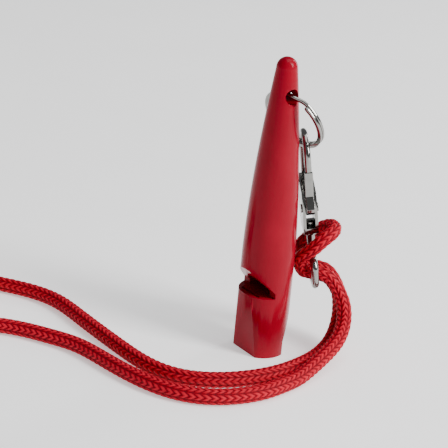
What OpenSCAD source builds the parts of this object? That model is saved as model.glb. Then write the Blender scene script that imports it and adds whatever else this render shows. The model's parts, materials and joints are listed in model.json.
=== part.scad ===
// Pealess training whistle standing on its mouthpiece, with a split ring through its tip, a trigger snap
// hook with a swivel eye hanging from the ring, and a braided neck lanyard hitched through the eye.
// The whistle's axis is Z, its window faces -Y and the ring hole runs along X.

/* [Whistle] */
// Height of the whistle, from the mouthpiece's end to the tip
whistle_h = 80; // [70:0.5:96]
// Radius of the round body at its widest
body_r = 6.95; // [6.5:0.05:8]
// Radius of the rounded tip
tip_r = 2.75; // [2.5:0.05:3]
// Radius of the air chamber
chamber_r = 4.7; // [4:0.05:5]
// Thickness of plastic that is left above the chamber, up to the ring hole
chamber_roof = 6; // [4:0.5:9]

/* [Mouthpiece] */
// Height of the mouthpiece, up to the floor of the window
mouth_h = 17; // [14:0.5:20]
// Distance of the front flat from the axis at the mouthpiece's end
front_flat_low = 5.1; // [4.8:0.1:5.6]
// Distance of the front flat from the axis at the window
front_flat_high = 6.6; // [6.4:0.05:6.8]
// Distance of the back flat from the axis at the mouthpiece's end
back_flat = 2.4; // [2.1:0.1:3.6]
// Height of the straight lip below the back flat
lip_h = 4; // [2:0.5:6]
// Width of the air slot
slot_w = 7.4; // [6:0.1:8]
// Height of the air slot where the lips close on it
slot_low = 1.6; // [1.2:0.1:1.8]
// Height of the air slot where it blows across the window
slot_high = 0.9; // [0.7:0.1:1.1]

/* [Window] */
// Depth of the window, from the axis to its back edge
window_y = 1.8; // [1.4:0.1:2.4]
// Height of the blunt back edge of the window
window_edge = 1.4; // [1:0.1:2]
// Slope of the ramp above the window, in degrees from level
ramp_angle = 47; // [42:1:52]

/* [Split ring] */
// Outer diameter of the split ring
ring_d = 18.2; // [18:0.1:20]
// Width of the ring's flat wire, across the ring
ring_wire_w = 1.2; // [1:0.05:1.3]
// Thickness of each of the ring's two turns
ring_wire_t = 0.85; // [0.7:0.05:0.9]
// Diameter of the hole that the ring goes through
ring_hole_d = 4; // [4:0.05:4.4]
// Distance of that hole from the top of the tip
ring_hole_drop = 9.5; // [9:0.5:10.5]
// Angle of the hanging ring below level, in degrees
ring_hang = 60; // [58:1:61]
// Turn of the ring about the line it hangs along, in degrees
ring_turn = 8; // [0:1:8]

/* [Snap hook] */
// Diameter of the hook's rod
rod_d = 1.7; // [1.6:0.05:1.8]
// Inner radius of the hook's bow
bow_r = 4.6; // [4.5:0.05:4.8]
// Distance from the ring's wire to the lower end of the hook's cheeks
hook_drop = 24; // [23:0.5:25]
// Width of the trigger between the cheeks
trigger_w = 2.1; // [1.8:0.1:2.4]
// Thickness of each cheek
cheek_t = 0.7; // [0.6:0.05:0.9]
// Diameter of the trigger's rivet
rivet_d = 1.4; // [1.2:0.1:1.6]
// Diameter of the swivel's stem
stem_d = 2.2; // [2:0.1:2.4]
// Inner width of the swivel eye
eye_w = 8.7; // [8.7:0.1:9.5]
// Inner height of the swivel eye
eye_h = 5.6; // [5.4:0.1:6]
// Yaw of the hanging hook about the vertical, in degrees
hook_yaw = -32; // [-34:1:-30]
// Lean of the hanging hook away from the whistle, in degrees
hook_lean = 9.4; // [9:0.2:10]

/* [Lanyard] */
// Diameter of the braided cord
cord_d = 4; // [3.8:0.1:4.1]
// Share of its diameter that the cord keeps where the hitch is pulled tight
hitch_squeeze = 0.85; // [0.8:0.01:0.88]

/* [Fits] */
// Gap round the air slot's block in its pocket
block_fit = 0.05; // [0.02:0.01:0.1]
// Running gap of the rivet and of the swivel stem in their holes, on the radius
running_fit = 0.05; // [0.02:0.01:0.1]
// Gap between the trigger and each cheek
trigger_gap = 0.15; // [0.1:0.05:0.2]
// Gap from the top of the hook's bow to the ring's wire, which crosses the bow askew
bow_gap = 1.2; // [1:0.05:1.4]

/* [Hidden] */

plastic = [0.74, 0.05, 0.07];
steel = [0.72, 0.71, 0.69];
cord_red = [0.78, 0.09, 0.14];
smooth = 96;
cut = 40;          // Reach of a cutting block, well past the whistle
eps = 0.01;

// Whistle
shoulder_z = 26;                                  // Where the straight body ends and the taper starts
chamber_z = shoulder_z + 10;                      // Where the chamber starts to taper
tip_z = whistle_h - tip_r;                        // Centre of the rounded tip
taper_power = 1.6;
taper_steps = 36;
hole_z = whistle_h - ring_hole_drop;
hole_rim = 0.35;                                  // Chamfer round the ring hole
chamber_top = hole_z - ring_hole_d / 2 - chamber_roof;
chamber_top_r = 2.6;
ramp_z = mouth_h + window_edge;
ramp_reach = 20;
pocket_back = 1.0;                                // Back wall of the block's pocket
slot_high_y = chamber_r + slot_high / 2;          // The slot blows at the ramp's lower edge
slot_low_y = front_flat_low - 1.1;

// Split ring
ring_r = ring_d / 2 - ring_wire_w / 2;            // Middle of the ring's wire
hole_arc = ring_r - sqrt(pow(ring_r, 2) - pow(tip_r + 0.75, 2));
ring_out = ring_r - hole_arc / 2;                 // From the hole's middle to the ring's middle
ring_reach = ring_out + ring_r;
hang_y = ring_reach * cos(ring_hang);
hang_z = hole_z - ring_reach * sin(ring_hang);

// Snap hook, in its own frame: X across the hook, Z up its length, origin at the ring's wire
rod_r = rod_d / 2;
wire_half = norm([ring_wire_w / 2, ring_wire_t]);
bow_mid_r = bow_r + rod_r;
bow_z = wire_half + bow_gap - bow_r;              // Centre of the bow
nose_z = bow_z - 3.2;
spine_end_z = -14;
joint_h = 0.8;                                    // Swelling where the bow leaves the spine
cheek_top = -12.5;
cheek_low = -hook_drop;
cheek_back = -bow_mid_r - 0.55;
back_wall = -bow_mid_r + 0.45;                    // Front of the solid back between the cheeks
cheek_front = 3.6;
inner_half = trigger_w / 2 + trigger_gap;
hook_half = inner_half + cheek_t;
floor_t = 1.5;                                    // Plate that the swivel's stem turns in
rivet_x = 1.7;
rivet_z = -17;
gate_t = 1.1;
gate_top = nose_z - 0.35;
stem_head_h = 1.0;
stem_low = -30;
eye_rod_r = 0.95;
eye_corner = 2.6;
eye_mid_w = eye_w / 2 + eye_rod_r;
eye_top = stem_low - eye_rod_r;
eye_low = eye_top - eye_h - 2 * eye_rod_r;

// Lanyard. The strands are named from the side of the curve that they lie on.
// Each list runs from the eye to the coil, centre of the cord.
inner_points = [[2.8, 16.4, 20.9], [4, 17.9, 20], [5.8, 19.4, 17], [7.2, 20.1, 13.2], [8.4, 19.6, 9],
    [9.6, 17.9, 5.6], [11, 15.2, 3.4], [13, 10.8, 2.2], [15.2, 5, 2], [16.5, -1, 2], [17, -7, 2],
    [16.4, -13.6, 2], [14.2, -21, 2], [10, -28, 2], [4, -32.6, 2], [-4, -34.8, 2], [-13, -35.4, 2],
    [-24, -35.6, 2], [-34, -35.6, 2], [-44, -36, 2], [-52, -38.6, 2], [-59, -43, 2], [-65, -46.8, 2],
    [-72, -48, 2]];
outer_points = [[6.2, 13.8, 20.9], [7.7, 15.4, 20], [9.8, 16.9, 17], [11.8, 17.5, 13.6],
    [13.6, 16.7, 10], [15.4, 14.5, 7.6], [17, 11.5, 6], [18.3, 8, 4.8], [19.6, 4, 3.8],
    [20.9, -0.4, 2.8], [22.1, -5, 2.1], [23, -10.6, 2], [23.4, -16.8, 2], [21.4, -26, 2], [16, -34, 2],
    [7.6, -39, 2], [-3, -41.8, 2], [-12, -43.2, 2], [-20, -45, 2], [-27, -48.6, 2], [-33, -52.4, 2],
    [-37.8, -57, 2.2], [-41, -63, 3], [-43.6, -70.6, 4.6], [-45, -79, 6]];
hitch_points = [[2.3, 15.6, 21.1], [1.1, 14, 21.3], [-0.4, 12.5, 21.7], [-1.5, 12.1, 23.6],
    [-2, 12.6, 26.2], [-1.2, 14.7, 29], [0.8, 16.6, 31.6], [3.6, 17.3, 33.2], [6, 16.5, 33.6],
    [7.6, 14.5, 33.2], [7.7, 11.5, 31.6], [6.3, 9.3, 28.8], [3.9, 8.2, 26.2], [3, 8.7, 23.8],
    [3.2, 9.8, 21.8], [4.3, 11.5, 21.3], [5.5, 13.1, 21.1]];
coil_at = [-71, -74, 0];
coil_in_r = 16;
coil_out_r = 28;
coil_h = 2 * cord_d;
tie_t = 0.6;
tie_w = 7;

// Outer radius of the body at a height above the shoulder
function taper(z) =
    body_r - (body_r - tip_r) * pow((z - shoulder_z) / (tip_z - shoulder_z), taper_power);

// A closed tube of radius r along a list of points, its ends square to the path
sides = 8;
function unit(v) = v / norm(v);
function heading(p, i) = unit(p[min(i + 1, len(p) - 1)] - p[max(i - 1, 0)]);
function side_of(d) = unit(cross(d, abs(d[2]) > 0.8 ? [1, 0, 0] : [0, 0, 1]));
function carried(p, i) = i == 0 ? side_of(heading(p, 0))
    : let (was = carried(p, i - 1), d = heading(p, i)) unit(was - d * (was * d));

module tube(p, r) {
    rings = [for (i = [0 : len(p) - 1]) let (d = heading(p, i), a = carried(p, i), b = cross(d, a))
        for (k = [0 : sides - 1]) p[i] + r * (a * cos(360 * k / sides) + b * sin(360 * k / sides))];
    last = (len(p) - 1) * sides;
    polyhedron(rings, concat(
        [[for (k = [0 : sides - 1]) k]],
        [for (i = [0 : len(p) - 2], k = [0 : sides - 1])
            let (a = i * sides + k, b = i * sides + (k + 1) % sides)
            each [[a, a + sides, b], [b, a + sides, b + sides]]],
        [[for (k = [sides - 1 : -1 : 0]) last + k]]));
}

// Outline of the body, from the axis out
module body_outline() {
    polygon(concat(
        [[0, 0], [body_r, 0], [body_r, shoulder_z]],
        [for (i = [1 : taper_steps]) let (z = shoulder_z + (tip_z - shoulder_z) * i / taper_steps)
            [taper(z), z]],
        [for (a = [10 : 10 : 80]) [tip_r * cos(a), tip_z + tip_r * sin(a)]],
        [[0, whistle_h]]));
}

// A slab along X, from its outline in Y and Z
module slab(points, half_w = cut) {
    rotate([90, 0, 90]) translate([0, 0, -half_w]) linear_extrude(2 * half_w) polygon(points);
}

module whistle_body() {
    color(plastic) difference() {
        rotate_extrude($fn = smooth) body_outline();
        // Air chamber
        translate([0, 0, mouth_h]) cylinder(r = chamber_r, h = chamber_z - mouth_h, $fn = smooth);
        translate([0, 0, chamber_z - eps])
            cylinder(r1 = chamber_r, r2 = chamber_top_r, h = chamber_top - chamber_z, $fn = smooth);
        // Front and back flats of the mouthpiece
        slab([[-front_flat_low, -eps], [-front_flat_high, mouth_h + eps],
            [-cut, mouth_h + eps], [-cut, -eps]]);
        slab([[back_flat, -eps], [back_flat, lip_h], [body_r + eps, mouth_h], [cut, mouth_h], [cut, -eps]]);
        // Window and its ramp
        slab([[-window_y, mouth_h], [-window_y, ramp_z],
            [-window_y - ramp_reach, ramp_z + ramp_reach * tan(ramp_angle)],
            [-window_y - ramp_reach, mouth_h]]);
        // Air slot and the pocket of its block
        slab([[-slot_low_y, -eps], [pocket_back + block_fit, -eps], [pocket_back + block_fit, mouth_h + eps],
            [-slot_high_y, mouth_h + eps]], slot_w / 2 + block_fit);
        // Ring hole with chamfered rims
        translate([0, 0, hole_z]) rotate([0, 90, 0]) {
            cylinder(d = ring_hole_d, h = 2 * cut, center = true, $fn = smooth);
            for (s = [-1, 1]) translate([0, 0, s * (taper(hole_z) - hole_rim / 2)])
                rotate([s < 0 ? 180 : 0, 0, 0])
                    cylinder(d1 = ring_hole_d, d2 = ring_hole_d + 4 * hole_rim, h = 2 * hole_rim,
                        $fn = smooth);
        }
    }
}

module windway_block() {
    color(plastic) slab([[-slot_low_y + slot_low, 0], [pocket_back, 0],
        [pocket_back, mouth_h], [-slot_high_y + slot_high, mouth_h]], slot_w / 2);
}

// Ring frame: origin at the hole, Y towards the far side of the ring, X along the hole
module at_ring() {
    translate([0, 0, hole_z]) rotate([-ring_hang, 0, 0])
        rotate([0, -ring_turn, 0]) children();
}

module split_ring() {
    color(steel) at_ring() translate([0, ring_out, 0]) difference() {
        translate([0, 0, -ring_wire_t])
            cylinder(r = ring_r + ring_wire_w / 2, h = 2 * ring_wire_t, $fn = smooth);
        translate([0, 0, -1.5 * ring_wire_t])
            cylinder(r = ring_r - ring_wire_w / 2, h = 3 * ring_wire_t, $fn = smooth);
    }
}

// Hook frame: origin at the ring's lowest wire, X across the hook, Z up its length
module at_hook() {
    translate([0, hang_y, hang_z]) rotate([0, 0, hook_yaw]) rotate([hook_lean, 0, 0]) children();
}

// A quarter or more of a rod bent round Y, from angle a0 to a1 measured from X towards Z
module bent_rod(r_mid, r_rod, a0, a1) {
    rotate([90, 0, 0]) rotate([0, 0, a0]) rotate_extrude(angle = a1 - a0, $fn = smooth)
        translate([r_mid, 0]) circle(r_rod, $fn = 32);
}

module plate_xz(points, half_t) {
    rotate([90, 0, 0]) translate([0, 0, -half_t]) linear_extrude(2 * half_t) polygon(points);
}

module hook_frame() {
    color(steel) at_hook() {
        difference() {
            union() {
                // Bow, spine and nose
                for (a = [0, 90]) translate([0, 0, bow_z]) bent_rod(bow_mid_r, rod_r, a, a + 90);
                translate([-bow_mid_r, 0, spine_end_z])
                    cylinder(r = rod_r, h = bow_z - spine_end_z, $fn = 32);
                translate([-bow_mid_r, 0, bow_z - joint_h / 2])
                    cylinder(r = rod_r + 0.06, h = joint_h, $fn = 32);
                translate([bow_mid_r, 0, nose_z]) cylinder(r = rod_r, h = bow_z - nose_z, $fn = 32);
                // Cheeks, closed at the back by the spine and below by the swivel's plate
                plate_xz([[cheek_back, cheek_top + 2.5], [back_wall + 0.6, cheek_top + 2.5],
                    [cheek_front - 1.2, cheek_top], [cheek_front, rivet_z + 1.8], [cheek_front, rivet_z - 2],
                    [cheek_front - 0.9, cheek_low], [cheek_back + 2, cheek_low],
                    [cheek_back, cheek_low + 5]], hook_half);
            }
            // Room between the cheeks
            plate_xz([[back_wall, cheek_top + 3], [cut, cheek_top + 3],
                [cut, cheek_low + floor_t], [back_wall, cheek_low + floor_t]], inner_half);
            // Holes for the rivet and the swivel's stem
            translate([rivet_x, 0, rivet_z]) rotate([90, 0, 0])
                cylinder(d = rivet_d + 2 * running_fit, h = cut, center = true, $fn = smooth);
            translate([0, 0, cheek_low - cut / 2])
                cylinder(d = stem_d + 2 * running_fit, h = cut, $fn = smooth);
        }
    }
}

module trigger_gate() {
    color(steel) at_hook() difference() {
        union() {
            plate_xz([[bow_mid_r - 0.5, gate_top], [bow_mid_r + 0.5, gate_top],
                [cheek_front + 0.6, rivet_z + 4], [cheek_front + 2.4, rivet_z + 1],
                [cheek_front + 1.9, rivet_z], [rivet_x + 1.2, rivet_z - 1.6],
                [rivet_x - 1.0, rivet_z - 1.5], [rivet_x - 1.3, rivet_z + 0.4],
                [cheek_front - gate_t - 0.4, rivet_z + 4.5]], trigger_w / 2);
            translate([rivet_x, 0, rivet_z]) rotate([90, 0, 0])
                cylinder(r = 1.7, h = trigger_w, center = true, $fn = smooth);
        }
        translate([rivet_x, 0, rivet_z]) rotate([90, 0, 0])
            cylinder(d = rivet_d + 2 * running_fit, h = cut, center = true, $fn = smooth);
    }
}

module gate_rivet() {
    head_h = 0.4;
    color(steel) at_hook() translate([rivet_x, 0, rivet_z]) rotate([90, 0, 0]) {
        cylinder(d = rivet_d, h = 2 * (hook_half + head_h), center = true, $fn = smooth);
        for (s = [-1, 1]) translate([0, 0, s * (hook_half + head_h / 2)])
            cylinder(d = rivet_d + 0.9, h = head_h, center = true, $fn = smooth);
    }
}

// Leaf spring from the swivel's plate, up the spine, to the back of the trigger
module gate_spring() {
    leaf = 0.3;
    x0 = back_wall + 0.02;
    color(steel) at_hook() plate_xz([[x0, rivet_z - 3.4], [x0 + leaf, rivet_z - 3.4],
        [x0 + leaf, rivet_z - 0.2], [x0 + 1.6, rivet_z + 2.2], [cheek_front - gate_t - 1.4, rivet_z + 2.4],
        [cheek_front - gate_t - 1.4, rivet_z + 2.4 + leaf], [x0 + 1.4, rivet_z + 2.2 + leaf],
        [x0, rivet_z + 0.2]], trigger_w / 2 - 0.2);
}

module eye_rod(h) {
    cylinder(r = eye_rod_r, h = h, $fn = 32);
}

module swivel_eye() {
    side_x = eye_mid_w;
    color(steel) at_hook() {
        // Stem with its head above the plate
        translate([0, 0, stem_low - 2 * eye_rod_r + 0.3])
            cylinder(d = stem_d, h = cheek_low + floor_t - stem_low + 2 * eye_rod_r - 0.1, $fn = smooth);
        translate([0, 0, cheek_low + floor_t + running_fit])
            cylinder(d = 2 * inner_half - 0.1, h = stem_head_h, $fn = smooth);
        translate([0, 0, cheek_low - running_fit - 0.8]) cylinder(d = stem_d + 1.2, h = 0.8, $fn = smooth);
        // Eye: a rod bent to a rounded rectangle
        for (s = [-1, 1]) {
            translate([s * side_x, 0, eye_low + eye_corner]) eye_rod(eye_top - eye_low - 2 * eye_corner);
            translate([s * (side_x - eye_corner), 0, eye_low + eye_corner])
                bent_rod(eye_corner, eye_rod_r, s > 0 ? -90 : 180, s > 0 ? 0 : 270);
            translate([s * (side_x - eye_corner), 0, eye_top - eye_corner])
                bent_rod(eye_corner, eye_rod_r, s > 0 ? 0 : 90, s > 0 ? 90 : 180);
        }
        for (z = [eye_low, eye_top]) translate([eye_corner - side_x, 0, z]) rotate([0, 90, 0])
            eye_rod(2 * (side_x - eye_corner));
    }
}

module lanyard_hitch() {
    color(cord_red) tube(hitch_points, hitch_squeeze * cord_d / 2);
}

module lanyard_strand_inner() {
    color(cord_red) tube(inner_points, cord_d / 2);
}

module lanyard_strand_outer() {
    color(cord_red) tube(outer_points, cord_d / 2);
}

module lanyard_coil() {
    color(cord_red) translate(coil_at) rotate_extrude($fn = smooth)
        translate([coil_in_r, 0]) square([coil_out_r - coil_in_r, coil_h]);
}

// Band round the coil at its far side
module coil_tie() {
    color([0.1, 0.1, 0.1]) translate(coil_at) rotate([0, 0, 200])
        translate([0, tie_w / 2, 0]) rotate([90, 0, 0]) linear_extrude(tie_w) difference() {
            translate([coil_in_r - 1.2, 0]) square([coil_out_r - coil_in_r + 2.4, coil_h + tie_t]);
            translate([coil_in_r - 0.6, -eps]) square([coil_out_r - coil_in_r + 1.2, coil_h + eps]);
        }
}

whistle_body();
windway_block();
split_ring();
hook_frame();
trigger_gate();
gate_rivet();
gate_spring();
swivel_eye();
lanyard_hitch();
lanyard_strand_inner();
lanyard_strand_outer();
lanyard_coil();
coil_tie();
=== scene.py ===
"""A pealess training whistle on its mouthpiece, with a split ring, a trigger snap hook and a braided lanyard.

The camera, the coil's tie and the cord come first, then the whistle, the ring and the hook's pieces.
"""

import json
from math import cos, pi, radians, sin, tau

import bmesh
import bpy
import numpy as np
from mathutils import Matrix, Vector


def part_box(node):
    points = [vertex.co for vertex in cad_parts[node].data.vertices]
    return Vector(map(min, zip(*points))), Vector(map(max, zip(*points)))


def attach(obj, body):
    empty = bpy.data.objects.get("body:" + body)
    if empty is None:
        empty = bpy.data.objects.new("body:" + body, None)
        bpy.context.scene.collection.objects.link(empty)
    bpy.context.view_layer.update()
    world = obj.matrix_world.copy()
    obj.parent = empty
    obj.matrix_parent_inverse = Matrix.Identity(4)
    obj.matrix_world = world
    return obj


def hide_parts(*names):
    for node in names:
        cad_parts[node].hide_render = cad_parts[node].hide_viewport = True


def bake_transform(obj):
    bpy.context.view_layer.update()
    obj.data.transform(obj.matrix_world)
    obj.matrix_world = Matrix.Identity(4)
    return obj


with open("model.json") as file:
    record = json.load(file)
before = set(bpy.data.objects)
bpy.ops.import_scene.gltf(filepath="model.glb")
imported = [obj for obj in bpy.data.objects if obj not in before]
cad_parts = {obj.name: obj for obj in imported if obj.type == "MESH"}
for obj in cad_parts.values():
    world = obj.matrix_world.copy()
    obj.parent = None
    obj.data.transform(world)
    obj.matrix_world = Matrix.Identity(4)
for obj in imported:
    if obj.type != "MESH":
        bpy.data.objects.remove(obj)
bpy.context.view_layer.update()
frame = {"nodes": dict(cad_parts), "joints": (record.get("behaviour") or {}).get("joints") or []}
NODES = frame["nodes"]
JOINTS = {joint["name"]: joint for joint in frame["joints"]}
MM = 0.001
UP = Vector((0, 0, 1))

# ---------------------------------------------------------------- places that the frame gives
RING_HOLE = Vector(JOINTS["ring_swing"]["pos_m"])
RING_LOW = Vector(JOINTS["hook_swing"]["pos_m"])
RING_D = 18.2 * MM
RING_TURN = radians(8)         # about the line that the ring hangs along

# ---------------------------------------------------------------- camera
VIEW_TURN = radians(38)        # from the whistle's side towards its window
VIEW_RISE = radians(22)
VIEW_ROLL = radians(5.03)
VIEW_DISTANCE = 400 * MM
VIEW_AIM = Vector((-16.84, -2.27, 29.38)) * MM
LENS, SENSOR = 120.65, 36      # both in millimetres
NEAR = Vector((cos(VIEW_TURN), -sin(VIEW_TURN), 0))      # level, towards the camera
SIDE = Vector((sin(VIEW_TURN), cos(VIEW_TURN), 0))       # level, to the camera's right


def add_camera():
    """Looks down on the whistle from its right front.

    The camera stands VIEW_DISTANCE from its aim, back along its own axis. Its right and its top are
    the level right and the upward direction, turned by the roll about that axis.
    """
    back = NEAR * cos(VIEW_RISE) + UP * sin(VIEW_RISE)
    lift = UP * cos(VIEW_RISE) - NEAR * sin(VIEW_RISE)
    right = SIDE * cos(VIEW_ROLL) + lift * sin(VIEW_ROLL)
    top = lift * cos(VIEW_ROLL) - SIDE * sin(VIEW_ROLL)
    data = bpy.data.cameras.new("camera")
    data.lens = LENS
    data.sensor_width = SENSOR
    data.clip_start = 20 * MM
    camera = bpy.data.objects.new("camera", data)
    facing = Matrix((right, top, back)).transposed().to_4x4()
    camera.matrix_world = Matrix.Translation(VIEW_AIM + back * VIEW_DISTANCE) @ facing
    bpy.context.scene.collection.objects.link(camera)
    bpy.context.scene.camera = camera


# ---------------------------------------------------------------- meshes
STEPS_PER_POINT = 60           # for measuring a spline's length


def add_mesh(name, points, faces, uv=None, smooth=True):
    """A closed mesh from its points and faces; uv is a pair for each face corner."""
    mesh = bpy.data.meshes.new(name)
    mesh.from_pydata(points, [], faces)
    mesh.polygons.foreach_set("use_smooth", np.full(len(mesh.polygons), smooth))
    if uv is not None:
        layer = mesh.uv_layers.new(name="along")
        layer.uv.foreach_set("vector", np.asarray(uv, np.float32).ravel())
    mesh.update()
    piece = bpy.data.objects.new(name, mesh)
    bpy.context.scene.collection.objects.link(piece)
    return piece


def skin(name, grid, around, along):
    """A tube from a grid of points, one row to each section, with a flat cap on either end.

    The sections close on themselves. In the UV map, U goes from 0 to around over each section, and V
    is the section's value in along.
    """
    rows, columns = grid.shape[:2]
    i, j = np.meshgrid(np.arange(rows - 1), np.arange(columns), indexing="ij")
    after = (j + 1) % columns
    row, below = i * columns, (i + 1) * columns
    quads = np.stack([row + j, row + after, below + after, below + j], -1)
    turn = np.stack([j, j + 1, j + 1, j], -1) / columns * around
    run = np.stack([along[i], along[i], along[i + 1], along[i + 1]], -1)
    first = list(range(columns))[::-1]
    last = list(range((rows - 1) * columns, rows * columns))
    cap = np.zeros((2 * columns, 2))
    cap[columns:, 1] = along[-1]
    uv = np.concatenate([np.stack([turn, run], -1).reshape(-1, 2), cap])
    faces = quads.reshape(-1, 4).tolist() + [first, last]
    return add_mesh(name, grid.reshape(-1, 3), faces, uv)


def finish_piece(piece, body, material):
    """Gives a new piece its material and the body that it rides on, if there is one."""
    piece.data.materials.clear()
    piece.data.materials.append(material)
    if body:
        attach(piece, body)


def unit(vectors):
    """Each vector over its own length."""
    return vectors / np.linalg.norm(vectors, axis=-1, keepdims=True)


def lengths_along(path):
    """The distance along a path at each of its points: the sum of the steps before it."""
    return np.concatenate([[0], np.cumsum(np.linalg.norm(np.diff(path, axis=0), axis=1))])


def superellipse(angle, half_width, half_height, power_width, power_height):
    """Half the width times the cosine's power, and half the height times the sine's, each with its sign."""
    across, up = np.cos(angle), np.sin(angle)
    across = np.sign(across) * np.abs(across) ** power_width * half_width
    return across, np.sign(up) * np.abs(up) ** power_height * half_height


def smooth_path(points, spacing):
    """A natural cubic spline through the points, and the distance along it at each of its new points.

    Its knots are the sums of the square roots of the gaps, and its second derivative is linear
    between knots and zero at both ends. A new point comes spacing(distance, whole length) after the
    last one, and all of them are then scaled to end on the spline's end.
    """
    points = np.array(points, float)
    knots = np.concatenate([[0], np.cumsum(np.sqrt(np.linalg.norm(np.diff(points, axis=0), axis=1)))])
    gap = np.diff(knots)
    count = len(points)
    matrix = np.eye(count)
    right = np.zeros((count, 3))
    inner = np.arange(1, count - 1)
    matrix[inner, inner - 1] = gap[:-1]
    matrix[inner, inner] = 2 * (gap[:-1] + gap[1:])
    matrix[inner, inner + 1] = gap[1:]
    slope = np.diff(points, axis=0) / gap[:, None]
    right[inner] = 6 * np.diff(slope, axis=0)
    bend = np.linalg.solve(matrix, right)

    def at(t):
        k = np.clip(np.searchsorted(knots, t, "right") - 1, 0, count - 2)
        h, a, b = gap[k][:, None], (knots[k + 1] - t)[:, None], (t - knots[k])[:, None]
        return (
            (bend[k] * a**3 + bend[k + 1] * b**3) / (6 * h)
            + (points[k] / h - bend[k] * h / 6) * a
            + (points[k + 1] / h - bend[k + 1] * h / 6) * b
        )

    fine = np.linspace(knots[0], knots[-1], STEPS_PER_POINT * count)
    length = lengths_along(at(fine))
    marks = [0.0]
    while marks[-1] < length[-1]:
        marks.append(marks[-1] + spacing(marks[-1], length[-1]))
    marks = np.array(marks) * length[-1] / marks[-1]
    return at(np.interp(marks, length, fine)), marks


def frames_along(path, first_side, last_side):
    """Two cross directions at each point of a path.

    The side is carried from point to point and made square to the path each time. All sides are then
    turned about the path, in equal steps from none to the angle between the last one and last_side.
    """
    ahead = unit(np.gradient(path, axis=0))
    sides = np.empty_like(path)
    side = np.array(first_side, float)
    for k, direction in enumerate(ahead):
        side = side - direction * (side @ direction)
        side /= np.linalg.norm(side)
        sides[k] = side
    others = np.cross(ahead, sides)
    goal = np.array(last_side, float)
    miss = np.arctan2(goal @ others[-1], goal @ sides[-1])
    turn = (miss * np.linspace(0, 1, len(path)))[:, None]
    return sides * np.cos(turn) + others * np.sin(turn), others * np.cos(turn) - sides * np.sin(turn)


# ---------------------------------------------------------------- the cord's route
CORD_D = 4 * MM
HITCH_D = 3.65 * MM            # the cord is pulled tight in its hitch
TIGHTENS_OVER = 14 * MM        # from either end of the hitch's cord
WALES = 6                      # rows of stitches round the braid
STITCH = 1.75 * MM
YARN_LEAN = 0.85               # how far a yarn lags at its row's edge, in stitches
ROW_EDGE = 5                   # the power with which a row sinks at its edge
VALLEY, CROWN_RISE = 0.88, 0.17   # the braid's radius at its lowest, and its rise, over the cord's radius
SEEN_STEP, COIL_STEP, HITCH_STEP = 0.3 * MM, 0.62 * MM, 0.22 * MM
SEEN_REACH = 150 * MM          # the finer steps' part of the floor's cord, from either of its ends
CORD_COLUMNS, HITCH_COLUMNS = 36, 42
INNER = [
    (2.8, 16.4, 20.9), (4, 17.9, 20), (5.8, 19.4, 17), (7.2, 20.1, 13.2), (8.4, 19.6, 9),
    (9.6, 17.9, 5.6), (11, 15.2, 3.4), (13, 10.8, 2.2), (15.2, 5, 2), (16.5, -1, 2), (17, -7, 2),
    (16.4, -13.6, 2),
    (14.2, -21, 2), (10, -28, 2), (4, -32.6, 2), (-4, -34.8, 2), (-13, -35.4, 2), (-24, -35.6, 2),
    (-34, -35.6, 2), (-44, -36, 2), (-52, -38.6, 2), (-59, -43, 2), (-65, -46.8, 2),
]
OUTER = [
    (6.2, 13.8, 20.9), (7.7, 15.4, 20), (9.8, 16.9, 17), (11.8, 17.5, 13.6), (13.6, 16.7, 10),
    (15.4, 14.5, 7.6), (17, 11.5, 6), (18.3, 8, 4.8), (19.6, 4, 3.8), (20.9, -0.4, 2.8), (22.1, -5, 2.1),
    (23, -10.6, 2),
    (23.4, -16.8, 2), (21.4, -26, 2), (16, -34, 2), (7.6, -39, 2), (-3, -41.8, 2), (-12, -43.2, 2),
    (-20, -45, 2), (-27, -48.6, 2), (-33, -52.4, 2), (-37.8, -57, 2.2), (-41, -63, 3), (-43.6, -70.6, 4.6),
]
HITCH = [
    (0.9, 14, 21.3), (-0.4, 12.5, 21.7), (-1.5, 12.1, 23.6), (-2, 12.6, 26.2), (-1.2, 14.7, 29),
    (0.8, 16.6, 31.6), (3.6, 17.3, 33.2), (6, 16.5, 33.6), (7.6, 14.5, 33.2), (7.7, 11.5, 31.6),
    (6.3, 9.3, 28.8), (3.9, 8.2, 26.2), (3, 8.7, 23.8), (3.2, 9.8, 21.8), (4.3, 11.5, 21.3),
]
JOIN = 4                       # the point of each riser where the two pieces of cord meet
COIL_CENTRE = (-71, -74)
COIL_TURNS = 4.72
TURN_POINTS = 24


def coil_points():
    """Nearly five turns, in along the floor, up, and out again over the first ones.

    The radius and the height are each linear between a few stations, given in turns.
    """
    turns = np.linspace(0, COIL_TURNS, round(COIL_TURNS * TURN_POINTS) + 1)
    angle = pi / 2 + tau * turns
    radius = np.interp(turns, [0, 1.95, 2.75, COIL_TURNS], [26, 18.2, 18.2, 26.4])
    height = np.interp(turns, [0, 1.85, 2.5, COIL_TURNS], [2, 2, 6, 6])
    x, y = COIL_CENTRE
    return np.stack([x + radius * np.cos(angle), y + radius * np.sin(angle), height], 1)


def stitches(around, along):
    """Height of the braid, from 0 to 1: in each row round the cord, pairs of yarns meet in a V.

    The lean is 0 at a row's middle and 1 at its edges. A yarn's phase is its place along the cord
    plus YARN_LEAN times the lean. Its crown is a power of a parabola over that phase. The row sinks
    with the power ROW_EDGE of the lean, and by a bell curve at its middle.
    """
    crown_power, middle_dip, middle_width = 0.6, 0.3, 0.2
    lean = np.abs(2 * (around % 1) - 1)
    phase = (along + YARN_LEAN * lean) % 1
    crown = np.clip(1 - (2 * phase - 1) ** 2, 0, 1) ** crown_power
    row = (1 - lean**ROW_EDGE) * (1 - middle_dip * np.exp(-((lean / middle_width) ** 2)))
    return crown * row


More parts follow.
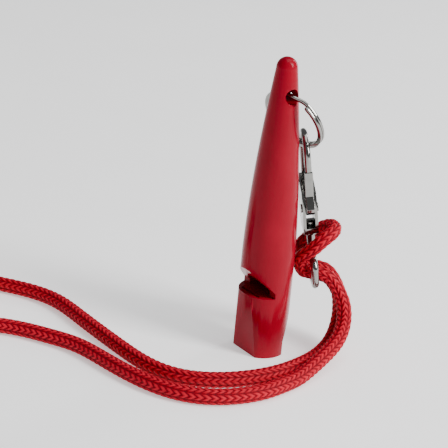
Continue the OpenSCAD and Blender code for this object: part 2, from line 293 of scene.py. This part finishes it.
def braided(name, path, marks, ends, diameter, columns):
    """The braid's surface round a path.

    Its radius is the cord's radius times VALLEY plus CROWN_RISE times the stitches' height. ends are
    the path's directions at its two ends, and the pattern starts there on the side that is square to
    both the path and NEAR. The path holds a whole number of stitches.
    """
    sides, others = frames_along(path, *(unit(np.cross(np.array(NEAR), end)) for end in ends))
    around = np.arange(columns) / columns * WALES
    along = marks / marks[-1] * round(marks[-1] / STITCH)
    relief = stitches(around[None, :], along[:, None])
    radius = diameter / 2 * (VALLEY + CROWN_RISE * relief)
    angle = (np.arange(columns) / columns * tau)[None, :, None]
    ring = np.cos(angle) * sides[:, None, :] + np.sin(angle) * others[:, None, :]
    return skin(name, path[:, None, :] + radius[..., None] * ring, WALES, along)


def between(path, marks, start, end):
    """The stretch of a path from its nearest point to start to its nearest point to end."""
    a = np.argmin(np.linalg.norm(path - start, axis=1))
    b = len(path) - 1 - np.argmin(np.linalg.norm(path[::-1] - end, axis=1))
    cut = path[a : b + 1].copy()
    cut[0], cut[-1] = start, end
    return cut, marks[a : b + 1] - marks[a]


def add_cord(material):
    """One cord in two pieces, which meet face to face in the risers: the hitch's, and the floor's.

    Each piece is a spline that starts and ends a little beyond the two joins and is cut there. In the
    hitch the diameter goes from CORD_D to HITCH_D over TIGHTENS_OVER, as a smoothstep of the distance
    from the nearer end.
    """
    inner, outer, hitch = (np.array(points) * MM for points in (INNER, OUTER, HITCH))
    inner_join, outer_join = inner[JOIN], outer[JOIN]
    at_inner = unit(inner[JOIN + 1] - inner[JOIN - 1])
    at_outer = unit(outer[JOIN - 1] - outer[JOIN + 1])

    def floor_step(mark, total):
        return SEEN_STEP if min(mark, total - mark) < SEEN_REACH else COIL_STEP

    floor_route = np.concatenate([inner[JOIN - 2 :], coil_points() * MM, outer[JOIN - 2 :][::-1]])
    path, marks = between(*smooth_path(floor_route, floor_step), inner_join, outer_join)
    loop_route = np.concatenate([outer[: JOIN + 3][::-1], hitch[::-1], inner[: JOIN + 3]])
    loop, loop_marks = smooth_path(loop_route, lambda mark, total: HITCH_STEP)
    loop, loop_marks = between(loop, loop_marks, outer_join, inner_join)

    tight = np.clip(np.minimum(loop_marks, loop_marks[-1] - loop_marks) / TIGHTENS_OVER, 0, 1)
    diameter = (CORD_D + (HITCH_D - CORD_D) * tight**2 * (3 - 2 * tight))[:, None]
    cord = braided("lanyard_cord", path, marks, (at_inner, at_outer), CORD_D, CORD_COLUMNS)
    loop_cord = braided("lanyard_loop", loop, loop_marks, (at_outer, at_inner), diameter, HITCH_COLUMNS)

    finish_piece(cord, None, material)
    finish_piece(loop_cord, None, material)
    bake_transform(cord)
    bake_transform(loop_cord)
    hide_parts("lanyard_strand_inner", "lanyard_strand_outer", "lanyard_coil")
    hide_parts("lanyard_hitch")


# ---------------------------------------------------------------- materials
def new_material(name):
    """A material with its node tree and its Principled shader."""
    material = bpy.data.materials.new(name)
    material.use_nodes = True
    tree = material.node_tree
    return material, tree, tree.nodes["Principled BSDF"]


def add(tree, kind, links=(), **values):
    """A node with its properties and inputs set; links joins its inputs to other nodes' outputs."""
    node = tree.nodes.new(kind)
    for key, value in values.items():
        if hasattr(node, key):
            setattr(node, key, value)
        else:
            node.inputs[key.replace("_", " ")].default_value = value
    for socket, source in dict(links).items():
        tree.links.new(source, node.inputs[socket])
    return node


def maths(tree, operation, *values):
    """A maths node's output; each value is an output or a number."""
    node = tree.nodes.new("ShaderNodeMath")
    node.operation = operation
    for socket, value in zip(node.inputs, values):
        if isinstance(value, (int, float)):
            socket.default_value = value
        else:
            tree.links.new(value, socket)
    return node.outputs[0]


def object_place(tree):
    """The piece's own Object coordinates."""
    return add(tree, "ShaderNodeTexCoord").outputs["Object"]


def pattern_place(tree):
    """U and V of the piece's own map."""
    uv = add(tree, "ShaderNodeUVMap", uv_map="along").outputs["UV"]
    split = add(tree, "ShaderNodeSeparateXYZ", {"Vector": uv})
    return split.outputs["X"], split.outputs["Y"]


def ramp(tree, value, stops):
    """A colour ramp over value; stops are (place, colour)."""
    node = tree.nodes.new("ShaderNodeValToRGB")
    while len(node.color_ramp.elements) < len(stops):
        node.color_ramp.elements.new(0.5)
    for element, (place, colour) in zip(node.color_ramp.elements, stops):
        element.position = place
        element.color = (*colour, 1)
    tree.links.new(value, node.inputs["Fac"])
    return node.outputs["Color"]


def noise(tree, vector, scale, detail=3.0, rough=0.5):
    """Noise over a vector, with scale cells to each unit."""
    node = add(tree, "ShaderNodeTexNoise", {"Vector": vector}, Scale=scale, Detail=detail, Roughness=rough)
    return node.outputs["Fac"]


def bump(tree, height, distance, strength=1.0, under=None):
    """A normal from a height, on top of the normal under it."""
    links = {"Height": height}
    if under is not None:
        links["Normal"] = under
    return add(tree, "ShaderNodeBump", links, Distance=distance, Strength=strength).outputs["Normal"]


def stretched(tree, scale):
    """Object coordinates times a scale for each axis."""
    return add(tree, "ShaderNodeMapping", {"Vector": object_place(tree)}, Scale=scale).outputs["Vector"]


def glossy_red_plastic():
    """Moulded red plastic: two close reds by noise, faint flow marks and fine rubbing scratches.

    Its roughness is 0.13, plus 0.06 of the scratches and 0.05 of the worn patches.
    """
    material, tree, shader = new_material("glossy_red_plastic")
    place = object_place(tree)
    cloud = noise(tree, place, 160, 3)
    colour = ramp(tree, cloud, [(0.3, (0.26, 0.0005, 0.012)), (0.7, (0.31, 0.0008, 0.015))])
    tree.links.new(colour, shader.inputs["Base Color"])
    scratch = noise(tree, stretched(tree, (1400, 1400, 90)), 1.0, 4, 0.6)
    worn = noise(tree, place, 420, 4)
    rough = maths(tree, "MULTIPLY_ADD", scratch, 0.06, 0.13)
    rough = maths(tree, "ADD", rough, maths(tree, "MULTIPLY", worn, 0.05))
    tree.links.new(rough, shader.inputs["Roughness"])
    flow = bump(tree, noise(tree, stretched(tree, (240, 240, 60)), 1.0, 2), 0.02 * MM, 0.35)
    tree.links.new(bump(tree, scratch, 0.004 * MM, 0.25, flow), shader.inputs["Normal"])
    shader.inputs["IOR"].default_value = 1.5
    shader.inputs["Specular IOR Level"].default_value = 0.11
    return material


def nickel(name, tint, rough_low, rough_high, grain):
    """Plated metal: the tint and a darker one by noise, and a roughness that follows its polish lines.

    The lines are noise drawn out by grain, and the roughness goes linearly with them from low to high.
    """
    material, tree, shader = new_material(name)
    place = object_place(tree)
    patch = noise(tree, place, 330, 3)
    dark = tuple(0.82 * channel for channel in tint)
    tree.links.new(ramp(tree, patch, [(0.3, dark), (0.65, tint)]), shader.inputs["Base Color"])
    lines = noise(tree, stretched(tree, grain), 1.0, 3, 0.6)
    spread = maths(tree, "MULTIPLY_ADD", lines, rough_high - rough_low, rough_low)
    tree.links.new(spread, shader.inputs["Roughness"])
    pits = bump(tree, noise(tree, place, 1800, 2), 0.01 * MM, 0.3)
    tree.links.new(bump(tree, lines, 0.004 * MM, 0.4, pits), shader.inputs["Normal"])
    shader.inputs["Metallic"].default_value = 1.0
    return material


def braided_cord_with_painted_light():
    """Red polyester braid: painted shade where each yarn dives, a painted highlight on its crown.

    Lean and phase are those of stitches(). The height is a parabola over the phase times the row's
    sinking edge. The colour's level is the height, which paints the shade and the highlight, the
    filaments along the yarn and a slow change from yarn to yarn, weighted 0.56, 0.3 and 0.2.
    """
    material, tree, shader = new_material("braided_cord_with_painted_light")
    around, along = pattern_place(tree)
    across = maths(tree, "MULTIPLY", maths(tree, "FRACT", around), 2)
    lean = maths(tree, "ABSOLUTE", maths(tree, "SUBTRACT", across, 1))
    phase = maths(tree, "ADD", along, maths(tree, "MULTIPLY", lean, YARN_LEAN))
    local = maths(tree, "SUBTRACT", maths(tree, "MULTIPLY", maths(tree, "FRACT", phase), 2), 1)
    crown = maths(tree, "SUBTRACT", 1, maths(tree, "MULTIPLY", local, local))
    edge = maths(tree, "SUBTRACT", 1, maths(tree, "POWER", lean, ROW_EDGE))
    height = maths(tree, "MULTIPLY", crown, edge)
    beside = maths(tree, "MULTIPLY", around, 2.2)
    threads = maths(tree, "MULTIPLY", phase, 11)
    lay = add(tree, "ShaderNodeCombineXYZ", {"X": beside, "Y": threads}).outputs["Vector"]
    filament = noise(tree, lay, 1.0, 2)
    yarn = noise(tree, lay, 0.23, 1)
    # the height's share of the level paints shade in the dives and a highlight on the crowns; the filaments
    # and the yarn noise are the yarn's own tone
    level = maths(tree, "ADD", maths(tree, "MULTIPLY", height, 0.56), maths(tree, "MULTIPLY", filament, 0.3))
    level = maths(tree, "ADD", level, maths(tree, "MULTIPLY", yarn, 0.2))
    # the dark low stops are painted shade, and the pale pinkish top stop is a painted highlight
    stops = [
        (0.12, (0.03, 0.0005, 0.003)), (0.38, (0.22, 0.0006, 0.008)),
        (0.64, (0.42, 0.001, 0.014)), (0.94, (0.74, 0.008, 0.034)),
    ]
    tree.links.new(ramp(tree, level, stops), shader.inputs["Base Color"])
    rough = maths(tree, "SUBTRACT", 0.7, maths(tree, "MULTIPLY", height, 0.3))
    tree.links.new(rough, shader.inputs["Roughness"])
    yarns = bump(tree, height, 0.16 * MM, 0.8)
    tree.links.new(bump(tree, filament, 0.035 * MM, 0.6, yarns), shader.inputs["Normal"])
    shader.inputs["Specular IOR Level"].default_value = 0.1
    shader.inputs["Sheen Weight"].default_value = 0.02
    shader.inputs["Sheen Roughness"].default_value = 0.45
    shader.inputs["Sheen Tint"].default_value = (1.0, 0.55, 0.6, 1)
    return material


def black_strap():
    """Woven black strap: its level is 0.2 times the sine of its ribs plus a fuzz of noise."""
    material, tree, shader = new_material("black_strap")
    _, along = pattern_place(tree)
    rib = maths(tree, "SINE", maths(tree, "MULTIPLY", along, tau))
    fuzz = noise(tree, object_place(tree), 2600, 4)
    level = maths(tree, "ADD", maths(tree, "MULTIPLY", rib, 0.2), fuzz)
    colour = ramp(tree, level, [(0.3, (0.006, 0.006, 0.007)), (0.9, (0.04, 0.04, 0.042))])
    tree.links.new(colour, shader.inputs["Base Color"])
    tree.links.new(bump(tree, level, 0.12 * MM, 0.6), shader.inputs["Normal"])
    shader.inputs["Roughness"].default_value = 0.82
    return material


def floor_white():
    """A matt pale floor with a very slight mottle, which also gives off a little light of its own."""
    material, tree, shader = new_material("floor_white")
    mottle = noise(tree, object_place(tree), 30, 3)
    colour = ramp(tree, mottle, [(0.3, (0.90, 0.90, 0.90)), (0.7, (0.93, 0.93, 0.93))])
    tree.links.new(colour, shader.inputs["Base Color"])
    shader.inputs["Roughness"].default_value = 0.7
    shader.inputs["Emission Color"].default_value = (1, 1, 1, 1)
    shader.inputs["Emission Strength"].default_value = 0.55
    return material


# ---------------------------------------------------------------- the whistle and the hook's pieces
SAME_POINT = 0.5e-6            # metres
SAME_PLANE = radians(0.3)
SHARP = radians(28)            # an edge that turns by more than this is rounded


def rounded(name, node, radius, body, material):
    """A CAD node's own shape, with its edges rounded to a radius.

    Points closer than SAME_POINT are merged, and faces within SAME_PLANE of each other become one,
    before the edges that turn by more than SHARP are bevelled.
    """
    mesh = NODES[node].data.copy()
    mesh.name = name
    work = bmesh.new()
    work.from_mesh(mesh)
    bmesh.ops.remove_doubles(work, verts=work.verts, dist=SAME_POINT)
    bmesh.ops.dissolve_limit(work, angle_limit=SAME_PLANE, verts=work.verts, edges=work.edges)
    for face in work.faces:
        face.smooth = True
    work.to_mesh(mesh)
    work.free()
    piece = bpy.data.objects.new(name, mesh)
    bpy.context.scene.collection.objects.link(piece)
    bevel = piece.modifiers.new("rounded edges", "BEVEL")
    bevel.width = radius
    bevel.segments = 3
    bevel.limit_method = "ANGLE"
    bevel.angle_limit = SHARP
    bevel.harden_normals = True
    finish_piece(piece, body, material)
    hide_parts(node)
    return piece


def add_split_ring(material):
    """Two turns of flat wire side by side, which change places in a short step beside the hole.

    A section is a superellipse. It runs round the ring nearly twice, narrows to half its size at the
    wire's ends, and moves along the ring's axis from one side to the other over the step, as half a
    sine wave.
    """
    wire_w, wire_t = 1.2 * MM, 0.8 * MM
    middle_r = (RING_D - wire_w) / 2
    down = (RING_LOW - RING_HOLE).normalized()
    centre = np.array(RING_HOLE + down * ((RING_LOW - RING_HOLE).length - middle_r))
    down = np.array(down)
    level = np.cross(down, (1.0, 0, 0))
    across = np.array((cos(RING_TURN), 0, 0)) - level * sin(RING_TURN)
    axis = np.cross(across, down)
    step_at, step_half, end_gap, narrows_over = radians(-58), radians(15), radians(17), radians(4)
    sections, columns, corner_power, half_apart = 300, 20, 0.45, 0.425 * MM
    angle = np.linspace(end_gap, 2 * tau - end_gap, sections)
    slide = np.clip((angle - tau) / step_half, -1, 1)
    offset = half_apart * np.sin(slide * pi / 2)
    outward = np.cos(angle + step_at)[:, None] * across + np.sin(angle + step_at)[:, None] * down
    corner = (np.arange(columns) + 0.5) / columns * tau
    wide, thick = superellipse(corner, wire_w / 2, wire_t / 2, corner_power, corner_power)
    from_end = np.minimum(angle - angle[0], angle[-1] - angle)
    taper = 0.5 + 0.5 * np.sqrt(np.clip(from_end / narrows_over, 0, 1))
    grid = (
        centre
        + (middle_r + wide[None, :] * taper[:, None])[..., None] * outward[:, None, :]
        + (offset[:, None] + thick[None, :] * taper[:, None])[..., None] * axis
    )
    ring = skin("split_ring_wire", grid, 1, angle)
    finish_piece(ring, "ring", material)
    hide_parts("split_ring")


def add_tie(material):
    """A woven strap round the coil's turns: a flat section carried round a superellipse.

    From lap_from on it moves outwards, linearly over lap_over turns, by a little more than its
    thickness, so that its last tenth of a turn lies over its first.
    """
    low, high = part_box("lanyard_coil")
    centre = np.array([(low.x + high.x) / 2, (low.y + high.y) / 2, 0])
    bearing = radians(200)
    out = np.array([cos(bearing), sin(bearing), 0])
    width, thick, rib = 7 * MM, 0.55 * MM, 0.9 * MM
    middle = np.array([22 * MM, 4.25 * MM])              # from the coil's middle, and up
    half = np.array([6.55 * MM, 4.05 * MM])
    sections, columns = 150, 16
    lap_from, lap_over, lap_rise = 0.98, 0.06, 1.05
    turns = np.linspace(0.02, 1.12, sections)
    shape = np.stack(superellipse(turns * tau, 1, 1, 0.5, 0.5), 1)
    lap = np.clip((turns - lap_from) / lap_over, 0, 1)[:, None] * thick * lap_rise
    line = middle + shape * (half + lap)
    path = centre + line[:, :1] * out + line[:, 1:] * np.array(UP)
    across = np.array([-out[1], out[0], 0])
    normal = np.cross(across, unit(np.gradient(path, axis=0)))
    corner = (np.arange(columns) + 0.5) / columns * tau
    wide, deep = superellipse(corner, width / 2, thick / 2, 0.3, 0.6)
    grid = path[:, None, :] + wide[None, :, None] * across + deep[None, :, None] * normal[:, None, :]
    strap = skin("coil_strap", grid, 1, lengths_along(path) / rib)
    finish_piece(strap, "whistle", material)
    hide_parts("coil_tie")


def add_spring(material):
    """The trigger's leaf spring, with its edges rounded and its place baked into its points."""
    spring = rounded("trigger_spring", "gate_spring", 0.05 * MM, None, material)
    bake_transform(spring)


# ---------------------------------------------------------------- floor and light
def add_floor(material):
    """A level square at height 0."""
    half = 4
    corners = [(-half, -half, 0), (half, -half, 0), (half, half, 0), (-half, half, 0)]
    floor = add_mesh("floor", corners, [(0, 1, 2, 3)], smooth=False)
    floor.data.materials.append(material)


def add_softbox(name, bearing, rise, distance, size, power):
    """A soft area light that faces the whistle's middle from a distance.

    bearing is its turn from the camera's side towards the camera's right, and rise its angle above
    level, both in degrees.
    """
    data = bpy.data.lights.new(name, "AREA")
    data.shape = "RECTANGLE"
    data.size, data.size_y = size
    data.energy = power
    light = bpy.data.objects.new(name, data)
    way = NEAR * cos(radians(bearing)) + SIDE * sin(radians(bearing))
    way = way * cos(radians(rise)) + UP * sin(radians(rise))
    light.location = UP * 40 * MM + way * distance
    light.rotation_euler = way.to_track_quat("Z", "Y").to_euler()
    bpy.context.scene.collection.objects.link(light)


def add_lights():
    """A grey studio with a key from the camera's right, a top light and a narrow one from behind."""
    world = bpy.data.worlds.new("studio")
    world.use_nodes = True
    world.node_tree.nodes["Background"].inputs["Color"].default_value = (0.96, 0.97, 1.0, 1)
    world.node_tree.nodes["Background"].inputs["Strength"].default_value = 0.22
    bpy.context.scene.world = world
    add_softbox("key", 66, 34, 0.9, (0.26, 0.6), 11.5)
    add_softbox("top", 100, 78, 1.0, (0.7, 0.7), 4)
    add_softbox("rim", 138, 20, 0.8, (0.12, 0.6), 2)


add_camera()
add_tie(black_strap())
add_cord(braided_cord_with_painted_light())

red = glossy_red_plastic()
bright = nickel("polished_nickel", (0.30, 0.295, 0.28), 0.06, 0.2, (500, 500, 3000))
dull = nickel("spring_steel", (0.55, 0.55, 0.54), 0.25, 0.45, (3000, 3000, 400))
rounded("whistle_shell", "whistle_body", 0.22 * MM, "whistle", red)
rounded("windway_floor", "windway_block", 0.1 * MM, "whistle", red)
add_split_ring(bright)
rounded("hook_casting", "hook_frame", 0.16 * MM, "hook", bright)
rounded("hook_trigger", "trigger_gate", 0.14 * MM, "trigger", bright)
rounded("trigger_rivet", "gate_rivet", 0.1 * MM, "hook", bright)
add_spring(dull)
rounded("swivel_loop", "swivel_eye", 0.1 * MM, "eye", bright)
add_floor(floor_white())
add_lights()
